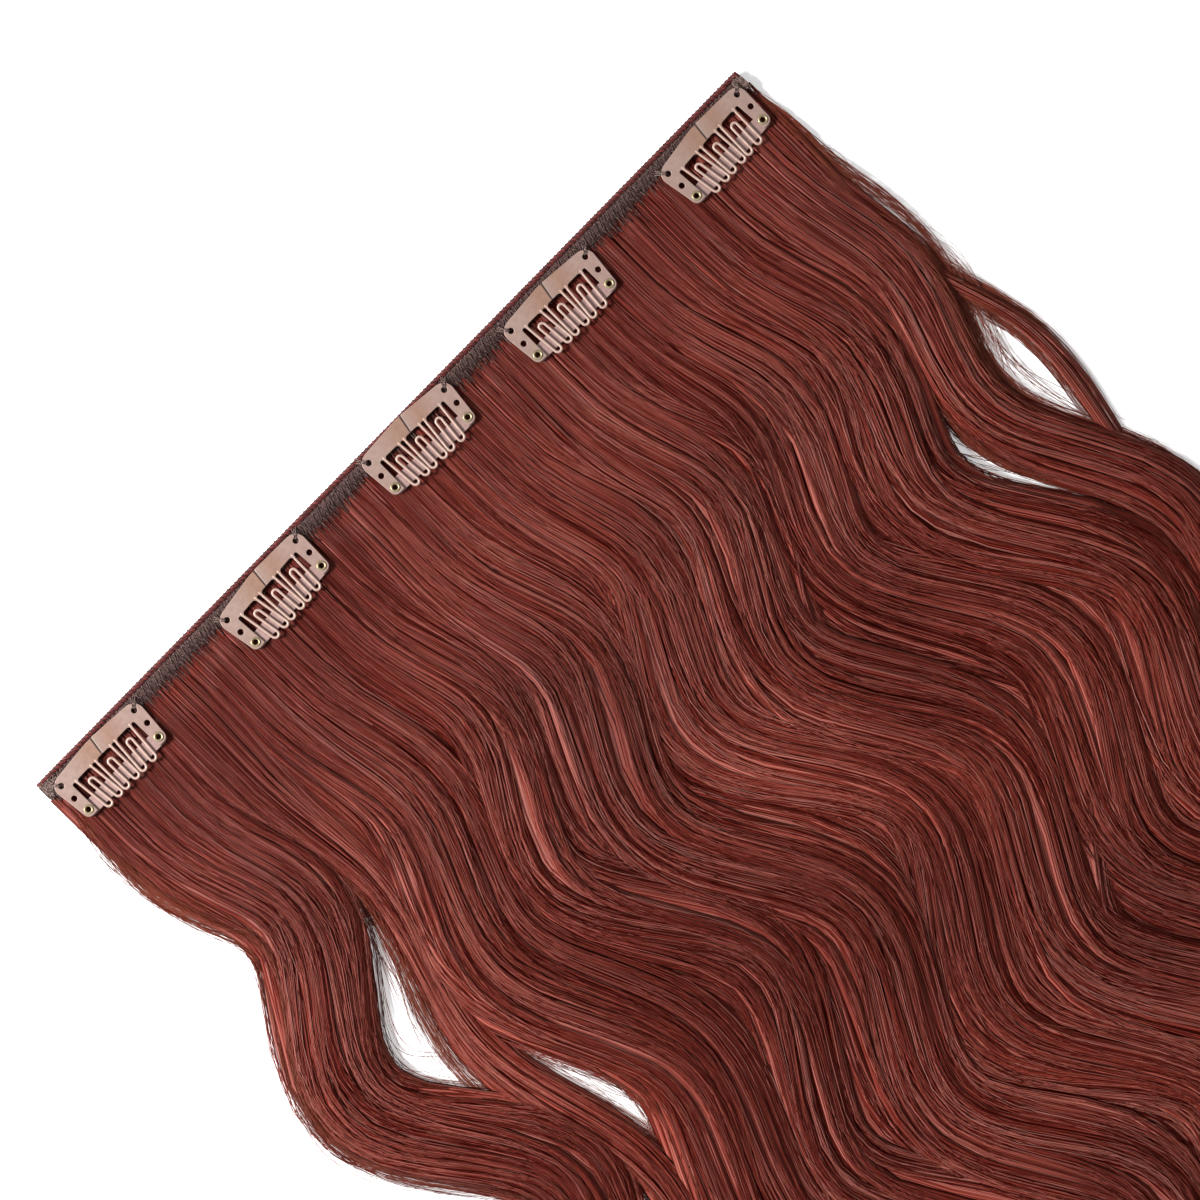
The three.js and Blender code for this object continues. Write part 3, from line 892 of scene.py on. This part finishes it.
def make_band(cloth, rope, stitch):
    rows = [zigzag(*row) for row in PALE_ZIGZAGS]
    rows += [end_tack(*tack) for tack in END_TACKS]
    rows.append(ties(*PALE_TIES))
    dark_rows = [zigzag(*row) for row in DARK_ZIGZAGS]
    dark_rows += [overlock(), ties(*DARK_TIES)]
    pieces = [
        mesh_object("band_body", band_body(), cloth),
        mesh_object("band_welt", welt_rope(), rope),
        mesh_object("band_stitches", joined(rows), stitch),
        mesh_object("band_dark_stitches", joined(dark_rows), cloth),
    ]
    for piece in pieces:
        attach(piece, ROOT_BODY)
    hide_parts("weft_band")


# Outlines of a clip

def bend(start, control, end, steps):
    """Points of a bend from start to end, drawn towards the control point."""
    start, control, end = np.array([start, control, end])
    t = np.linspace(0, 1, steps + 1)[:, None]
    return (1 - t) ** 2 * start + 2 * t * (1 - t) * control + t**2 * end


def arc(x, y, radius, start, end, steps):
    angles = np.radians(np.linspace(start, end, steps + 1))
    return columns(x + radius * np.cos(angles), y + radius * np.sin(angles))


def circle(x, y, radius):
    return arc(x, y, radius, 0, 360, ROUND_STEPS)[:-1]


def top_edge(start, end):
    """The plate's top between two x, with a straight slope on each side of the ridge."""
    x = np.linspace(start, end, TOP_STEPS)
    slope = np.maximum(np.abs(x) - RIDGE, 0)
    return columns(x, CLIP_TOP - (CLIP_TOP - SHOULDER) * slope / (SHOULDER_X - RIDGE))


def strip_gaps():
    """Sides of the gaps between the comb's strips at the plate, from left to right."""
    outer = TOOTH_PITCH / 2 + TOOTH_OUTER
    inner = outer - TOOTH_STRIP
    edges = [-LEG_INNER]
    for pair in PAIRS:
        middle = pair * PAIR_ROOT_PITCH
        edges += [middle - outer, middle - inner, middle + inner, middle + outer]
    edges.append(LEG_INNER)
    return np.array(edges).reshape(-1, 2)


def gap_top(left, right):
    """The rounded upper end of one gap."""
    radius = min(WINDOW_ROUNDING, (right - left) / 2 - WINDOW_FLAT)
    y = RAIL_BOTTOM - radius
    first = arc(left + radius, y, radius, 180, 90, WINDOW_STEPS)
    second = arc(right - radius, y, radius, 90, 0, WINDOW_STEPS)
    return np.concatenate([[(left, STUB_END)], first, second, [(right, STUB_END)]])


def leg_side():
    """The plate's left edge, from the shoulder down to the inside of the foot."""
    corner_control = (-HALF_TOP + CORNER_INSET[0], SHOULDER - CORNER_INSET[1])
    corner = bend((-SHOULDER_X, SHOULDER), corner_control, (-HALF_TOP, CORNER_Y), CORNER_STEPS)
    foot_start = (-HALF_BOTTOM, LEG_END + FOOT_HEIGHT)
    foot_end = (-HALF_BOTTOM + FOOT_WIDTH, LEG_END)
    foot = bend(foot_start, (-HALF_BOTTOM, LEG_END), foot_end, CORNER_STEPS)
    toe = bend((-LEG_INNER - TOE, LEG_END), (-LEG_INNER, LEG_END), (-LEG_INNER, LEG_END + TOE), TOE_STEPS)
    return np.concatenate([corner, foot, toe])


def plate_outline():
    """The plate from above, split by the slanting crease."""
    left = leg_side()
    right = left[::-1] * (-1, 1)
    teeth = np.concatenate([gap_top(*gap) for gap in strip_gaps()])
    (crease_top, _), crease_end = CREASE
    edge_right = top_edge(TOP_END_X, crease_top + CREASE_HALF)
    edge_left = top_edge(crease_top - CREASE_HALF, -TOP_END_X)
    crease = np.array(crease_end) + [(CREASE_HALF, 0), (-CREASE_HALF, 0)]
    return np.concatenate([left, teeth[1:-1], right, edge_right, crease, edge_left])


def eyelet_hole(side):
    return circle(side * EYELET_X, EYELET_Y, EYELET_TUBE + EYELET_PLAY)


def plate_holes():
    holes = []
    for side in (-1, 1):
        holes += [circle(side * HOLE_X, y, HOLE_RADIUS) for y in HOLE_HEIGHTS]
        holes.append(eyelet_hole(side))
    return holes


def bar_outline():
    radius = (BAR_TOP - BAR_BOTTOM) / 2
    middle = (BAR_TOP + BAR_BOTTOM) / 2
    right = arc(BAR_HALF - radius, middle, radius, -90, 90, BAR_STEPS)
    left = arc(-BAR_HALF + radius, middle, radius, 90, 270, BAR_STEPS)
    return np.concatenate([right, left])


# Shapes of a clip

def inset(loop, amount):
    """A closed loop moved to its left by an amount, corner by corner."""
    ahead = np.roll(loop, -1, axis=0) - loop
    ahead /= np.linalg.norm(ahead, axis=1, keepdims=True)
    left = columns(-ahead[:, 1], ahead[:, 0])
    before = np.roll(left, 1, axis=0)
    corner = 1 + (left * before).sum(axis=1, keepdims=True)
    return loop + amount * (left + before) / corner


def edge_rings(bottom, top, edge):
    """Inset and height of the rings round a sheet's rounded edge, from the underside up."""
    low = [(edge * (1 - math.cos(a)), bottom + edge * (1 + math.sin(a))) for a in np.radians(EDGE_ANGLES)]
    return low + [(amount, top + bottom - height) for amount, height in reversed(low)]


def cap_faces(points, first_rings, last_rings):
    """Triangles over a sheet's top and underside, between outline and holes."""
    loops = [[Vector((*points[corner][:2], 0)) for corner in ring] for ring in last_rings]
    triangles = np.array(tessellate_polygon(loops))
    upper = np.concatenate(last_rings)
    ends = points[upper[triangles]][..., :2]
    turn = np.cross(ends[:, 1] - ends[:, 0], ends[:, 2] - ends[:, 0])
    triangles = np.where(turn[:, None] < 0, triangles[:, ::-1], triangles)
    return [upper[triangles], np.concatenate(first_rings)[triangles[:, ::-1]]]


def stamped(outline, holes, bottom, top, edge=SHEET_EDGE):
    """A sheet with rounded edges. Outline and holes run anticlockwise."""
    rings = edge_rings(bottom, top, edge)
    points, walls, first_rings, last_rings = [], [], [], []
    count = 0
    for loop in [outline, *(hole[::-1] for hole in holes)]:
        points += [columns(*inset(loop, amount).T, height) for amount, height in rings]
        index = count + np.arange(len(rings) * len(loop)).reshape(len(rings), -1)
        count += index.size
        walls.append(ring_walls(index))
        first_rings.append(index[0])
        last_rings.append(index[-1])
    points = np.concatenate(points)
    caps = cap_faces(points, first_rings, last_rings)
    return Shape(points, [np.concatenate(walls), *caps], points[:, :2])


def crease_floor():
    """The sheet at the bottom of the crease."""
    (top_x, top_y), (end_x, end_y) = CREASE
    half = CREASE_HALF + CREASE_LAP
    low = end_y - CREASE_LAP
    high = top_y - CREASE_TOP_GAP
    outline = np.array([(end_x - half, low), (end_x + half, low), (top_x + half, high), (top_x - half, high)])
    return stamped(outline, [], SHEET_Z + CREASE_UNDERSIDE, SHEET_TOP - CREASE_DEPTH, CREASE_EDGE)


def flat_tops(piece):
    """Shades level faces flat, so that the rounded edges stand out."""
    for face in piece.data.polygons:
        face.use_smooth = abs(face.normal.z) < LEVEL


def pair_line():
    """The middle line of a pair of looped teeth: down, round, up to the arch and back."""
    half = TOOTH_PITCH / 2
    outer = half + TOOTH_OUTER - TOOTH_STRIP / 2
    inner = half - TOOTH_OUTER + TOOTH_STRIP / 2
    loop = TOOTH_OUTER - TOOTH_STRIP / 2
    tip = TOOTH_END + TOOTH_OUTER
    arch = ARCH_TOP - inner - TOOTH_STRIP / 2
    left = np.concatenate([
        columns(-outer, np.linspace(RAIL_BOTTOM + COMB_OVERLAP, tip, DOWN_STEPS, endpoint=False)),
        arc(-half, tip, loop, 180, 360, LOOP_STEPS),
        columns(-inner, np.linspace(tip, arch, REACH_STEPS, endpoint=False)[1:]),
        arc(0, arch, inner, 180, 90, ARCH_STEPS)[:-1],
    ])
    return np.concatenate([left, [(0, arch + inner)], left[::-1] * (-1, 1)])


def comb_paths():
    """The middle lines of the pairs, which draw together towards their tips."""
    x, y = pair_line().T
    share = np.clip((RAIL_BOTTOM - y) / (RAIL_BOTTOM - TOOTH_END), 0, 1)
    pitch = mix(PAIR_ROOT_PITCH, PAIR_TIP_PITCH, share)
    return np.array([columns(x + pair * pitch, y, SHEET_Z + SHEET / 2) for pair in PAIRS])


def comb_shape():
    """The teeth: strips with rounded edges along the middle lines."""
    width = TOOTH_STRIP / 2 - TOOTH_ROUNDING
    thick = SHEET / 2 + TOOTH_SWELL - TOOTH_ROUNDING
    corners = [(width, thick, 0), (-width, thick, 90), (-width, -thick, 180), (width, -thick, 270)]
    section = np.concatenate([arc(x, y, TOOTH_ROUNDING, start, start + 90, 1) for x, y, start in corners])
    paths = comb_paths()
    pairs, stations = paths.shape[:2]
    shape = swept(paths, section, np.ones((pairs, stations, 2)), np.zeros(pairs), np.zeros((pairs, stations)))
    return Shape(shape.points, shape.faces, shape.points[:, :2])


def turned(profile, x, y):
    """A closed ring from a profile of radius and height."""
    angles = np.arange(ROUND_STEPS)[:, None] * 2 * np.pi / ROUND_STEPS
    radius, height = np.array(profile).T
    points = columns(x + radius * np.cos(angles), y + radius * np.sin(angles), height).reshape(-1, 3)
    index = np.arange(len(points)).reshape(ROUND_STEPS, -1)
    walls = ring_walls(np.concatenate([index, index[:1]]))[:, FLIPPED]
    return Shape(points, [walls], points[:, :2])


def eyelet(side):
    """A brass tube through bar and plate with a rolled rim."""
    profile = [(EYELET_BORE, BAR_Z), (EYELET_TUBE, BAR_Z), (EYELET_TUBE, SHEET_TOP + RIM_GAP)]
    profile += [(EYELET_FLANGE - inward, SHEET_TOP + up) for inward, up in EYELET_RIM]
    profile += [(EYELET_BORE + outward, SHEET_TOP + up) for outward, up in EYELET_THROAT]
    return turned(profile, side * EYELET_X, EYELET_Y)


def sewing(side):
    """The threads that hold an upper corner of a clip."""
    loops = []
    fan = np.linspace(*SEWING_FAN, len(SEWING_LINE))[:, None]
    for step in range(SEWING_THREADS):
        aside = SEWING_SPACING * (step - (SEWING_THREADS - 1) / 2)
        line = SEWING_LINE + fan * (aside, SEWING_SLANT * aside, 0)
        line = resampled(line + RANDOM.normal(0, SEWING_JITTER, line.shape), SEWING_STEPS)
        loops.append(thread(line * (side, 1, 1), SEWING_RADIUS, SEWING_TONE * step, SEWING_SIDES))
    return joined(loops)


def placed(points, place):
    """Points of a clip at its place on the band."""
    x, y, turn = place
    cosine = math.cos(math.radians(turn))
    sine = math.sin(math.radians(turn))
    rotation = np.array([[cosine, sine, 0], [-sine, cosine, 0], [0, 0, 1]])
    return points @ rotation + (x, y, 0)


def clip_shapes():
    """The shape and the slot of each piece, in the clip's own frame."""
    plate = joined([stamped(plate_outline(), plate_holes(), SHEET_Z, SHEET_TOP), crease_floor()])
    closing_bar = stamped(bar_outline(), [eyelet_hole(-1), eyelet_hole(1)], BAR_Z, BAR_Z + SHEET)
    return {
        "plate": (plate, "sheet"),
        "closing_bar": (closing_bar, "bar"),
        "eyelets": (joined([eyelet(-1), eyelet(1)]), "brass"),
        "sewing": (joined([sewing(-1), sewing(1)]), "band"),
        "teeth": (comb_shape(), "sheet"),
    }


def make_clip(number, place, materials):
    """One clip. Its teeth are placed in the part's frame and attached to no body."""
    name = f"clip_{number}"
    pieces = {}
    for word, (shape, slot) in clip_shapes().items():
        moved = Shape(placed(shape.points, place), shape.faces, shape.uv)
        pieces[word] = mesh_object(f"{name}_{word}", moved, materials[word])
    for word in ("plate", "closing_bar", "eyelets", "sewing"):
        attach(pieces[word], ROOT_BODY)
    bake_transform(pieces["teeth"])
    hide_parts(f"{name}_frame")
    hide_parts(f"{name}_comb")
    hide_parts(f"{name}_bar")
    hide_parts(f"{name}_eyelet_left", f"{name}_eyelet_right")
    for word in ("plate", "closing_bar"):
        flat_tops(pieces[word])


# Materials

def new_material(name):
    material = bpy.data.materials.new(name)
    material.use_nodes = True
    tree = material.node_tree
    return material, tree, tree.nodes["Principled BSDF"]


def fill(tree, node, inputs):
    """Gives inputs of a node their values, or links them to sockets."""
    for key, value in inputs.items():
        if isinstance(value, bpy.types.NodeSocket):
            tree.links.new(value, node.inputs[key])
        else:
            node.inputs[key].default_value = value


def add(tree, kind, inputs, **settings):
    """The outputs of a new shader node with its settings and inputs."""
    node = tree.nodes.new("ShaderNode" + kind)
    for key, value in settings.items():
        setattr(node, key, value)
    fill(tree, node, inputs)
    return node.outputs


def uv_place(tree):
    return add(tree, "UVMap", {}, uv_map="UVMap")["UV"]


def stretched_noise(tree, streaks, detail=FULL_DETAIL):
    """Noise in streaks along the strands, from UV in millimetres."""
    place = add(tree, "VectorMath", {0: uv_place(tree), 1: (*streaks, 0)}, operation="MULTIPLY")["Vector"]
    inputs = {"Vector": place, "Scale": 1.0, "Detail": detail, "Roughness": STREAK_ROUGHNESS}
    return add(tree, "TexNoise", inputs, noise_dimensions="2D")["Fac"]


def ramp(tree, source, stops):
    """The colour of a ramp with (position, colour) stops."""
    node = tree.nodes.new("ShaderNodeValToRGB")
    elements = node.color_ramp.elements
    while len(elements) < len(stops):
        elements.new(0.5)
    for element, (position, colour) in zip(elements, stops):
        element.position = position
        element.color = (*colour, 1)
    tree.links.new(source, node.inputs["Fac"])
    return node.outputs["Color"]


def multiplied(tree, first, second):
    """The product of two colours."""
    inputs = {"Factor": 1.0, "A": first, "B": second}
    return add(tree, "Mix", inputs, data_type="RGBA", blend_type="MULTIPLY")["Result"]


def bumped(tree, height, bump):
    """Normals bumped by a height."""
    strength, depth = bump
    return add(tree, "Bump", {"Strength": strength, "Distance": depth, "Height": height})["Normal"]


def span(tree, value, low, high):
    """0 to 1 as a value goes from low to high."""
    return add(tree, "MapRange", {"Value": value, "From Min": low, "From Max": high})["Result"]


def calmed(tree, value, away):
    """The value drawn in towards the middle tone near the band."""
    contrast = add(tree, "MapRange", {"Value": away, "To Min": ROOT_CONTRAST})["Result"]
    centred = add(tree, "Math", {0: value, 1: MID_TONE}, operation="SUBTRACT")["Value"]
    return add(tree, "Math", {0: centred, 1: contrast, 2: MID_TONE}, operation="MULTIPLY_ADD")["Value"]


def strand_tone(tree):
    """Streaks of single strands with a share of broad tufts."""
    tufts = stretched_noise(tree, TUFT_STREAKS, SOFT_DETAIL)
    strands = stretched_noise(tree, STRAND_STREAKS)
    part = add(tree, "Math", {0: tufts, 1: TUFT_SHARE}, operation="MULTIPLY")["Value"]
    return add(tree, "Math", {0: strands, 1: 1 - TUFT_SHARE, 2: part}, operation="MULTIPLY_ADD")["Value"]


def hair_shade(tree, away):
    """Painted shade on the hair: broad patches for sheen, the roots near the band and the right-hand side
    away from the key light.
    """
    place = add(tree, "TexCoord", {})["Object"]
    sheen_patch = add(tree, "TexNoise", {"Vector": place, "Scale": SHEEN_PATCH_SCALE, "Detail": SHEEN_PATCH_DETAIL})["Fac"]
    across = span(tree, add(tree, "SeparateXYZ", {0: place})["X"], -BAND_HALF * MM, BAND_HALF * MM)
    shade = multiplied(tree, ramp(tree, sheen_patch, SHEEN_PATCH_TONES), ramp(tree, away, ROOT_SHADE_TONES))
    return multiplied(tree, shade, ramp(tree, across, SIDE_SHADE_TONES))


def hair_material(name, tones):
    """Glossy strands, each with its own tone, a painted glint on a few, painted shade over all and fine
    grooves along them.
    """
    material, tree, shader = new_material(name)
    away = span(tree, add(tree, "SeparateXYZ", {0: uv_place(tree)})["Y"], 0, FULL_LENGTH)
    colour = ramp(tree, calmed(tree, strand_tone(tree), away), tones)
    grooves = stretched_noise(tree, GROOVE_STREAKS, SOFT_DETAIL)
    fill(tree, shader, {
        "Base Color": multiplied(tree, colour, hair_shade(tree, away)),
        "Normal": bumped(tree, grooves, HAIR_BUMP),
        **HAIR_FINISH,
    })
    return material


def streaked_material(name, tones, streaks, roughness, bump):
    """Cloth or thread with streaks along its run."""
    material, tree, shader = new_material(name)
    noise = stretched_noise(tree, streaks)
    fill(tree, shader, {
        "Base Color": ramp(tree, noise, tones),
        "Normal": bumped(tree, noise, bump),
        "Roughness": roughness,
        "Specular IOR Level": CLOTH_SPECULAR,
    })
    return material


def metal_material(name, tones, metallic, roughness):
    """Lacquered or plain sheet metal with a faint grain."""
    material, tree, shader = new_material(name)
    noise = stretched_noise(tree, METAL_GRAIN, GRAIN_DETAIL)
    shine = [(stop, (roughness + more,) * 3) for stop, more in SHINE_STOPS]
    fill(tree, shader, {
        "Base Color": ramp(tree, noise, tones),
        "Roughness": ramp(tree, noise, shine),
        "Metallic": metallic,
    })
    return material


def sheet_material():
    """The plates' lacquer: painted reflection from side to side, painted shade in the crease and a faint
    mottle.
    """
    material = metal_material("lacquered_sheet", MOTTLE_TONES, **LACQUER_FINISH)
    tree = material.node_tree
    base = tree.nodes["Principled BSDF"].inputs["Base Color"]
    mottle = base.links[0].from_socket
    (top_x, top_y), (end_x, end_y) = CREASE
    lean = (top_x - end_x) / (top_y - end_y)
    middle = top_x - lean * top_y
    apart = add(tree, "VectorMath", {0: uv_place(tree), 1: (1, -lean, 0)}, operation="DOT_PRODUCT")["Value"]
    # Painted reflection across the plate, with painted shade along the crease
    across = ramp(tree, span(tree, apart, middle - HALF_TOP, middle + HALF_TOP), PLATE_TONES_AND_REFLECTIONS)
    tree.links.new(multiplied(tree, across, mottle), base)
    return material


def clip_materials(stitch):
    """The material of each piece of a clip."""
    return {
        "plate": sheet_material(),
        "closing_bar": metal_material("lacquered_bar", BAR_TONES, **BAR_FINISH),
        "eyelets": metal_material("pale_brass", BRASS_TONES, **BRASS_FINISH),
        "sewing": stitch,
        "teeth": metal_material("lacquered_teeth", TEETH_TONES, **LACQUER_FINISH),
    }


# Light, floor and camera

def make_floor():
    half = FLOOR_HALF
    corners = [(-half, -half, 0), (half, -half, 0), (half, half, 0), (-half, half, 0)]
    mesh = bpy.data.meshes.new("floor")
    mesh.from_pydata(corners, [], [(0, 1, 2, 3)])
    material, tree, shader = new_material("pale_floor")
    fill(tree, shader, FLOOR_FINISH)
    mesh.materials.append(material)
    floor = added("floor", mesh)


def make_camera():
    data = bpy.data.cameras.new("camera")
    data.sensor_width = SENSOR_WIDTH
    data.lens = SENSOR_WIDTH * CAMERA_HEIGHT / FRAME_WIDTH
    camera = added("camera", data)
    camera.location = (CAMERA_TARGET[0] * MM, CAMERA_TARGET[1] * MM, CAMERA_HEIGHT * MM)
    camera.rotation_euler = (0, 0, math.radians(CAMERA_TURN))
    bpy.context.scene.camera = camera


def make_light(name, place, size, watts):
    data = bpy.data.lights.new(name, "AREA")
    data.size = size
    data.energy = watts
    light = added(name, data)
    light.location = place
    x, y, z = np.subtract(LIGHT_TARGET, place)
    light.rotation_euler = (math.atan2(math.hypot(x, y), -z), 0, math.atan2(y, x) - math.pi / 2)


def make_world():
    world = bpy.data.worlds.new("studio")
    world.use_nodes = True
    tree = world.node_tree
    fill(tree, tree.nodes["Background"], {"Color": WHITE, "Strength": WORLD_STRENGTH})
    bpy.context.scene.world = world
    bpy.context.scene.view_settings.view_transform = "Standard"


make_camera()
make_world()
make_floor()
for light_row in LIGHTS:
    make_light(*light_row)
make_hair(hair_material("auburn_hair", HAIR_TONES_AND_GLINTS), hair_material("loose_hair_backlit", BACKLIT_LOOSE_TONES))
stitch_thread = streaked_material("stitch_thread", STITCH_TONES, **THREAD_FINISH)
band_cloth = streaked_material("band_cloth", CLOTH_TONES, **CLOTH_FINISH)
welt_hair = streaked_material("welt_hair", WELT_TONES, **WELT_FINISH)
make_band(band_cloth, welt_hair, stitch_thread)
clip_looks = clip_materials(stitch_thread)
for clip_number, clip_place in enumerate(CLIP_PLACES, 1):
    make_clip(clip_number, clip_place, clip_looks)
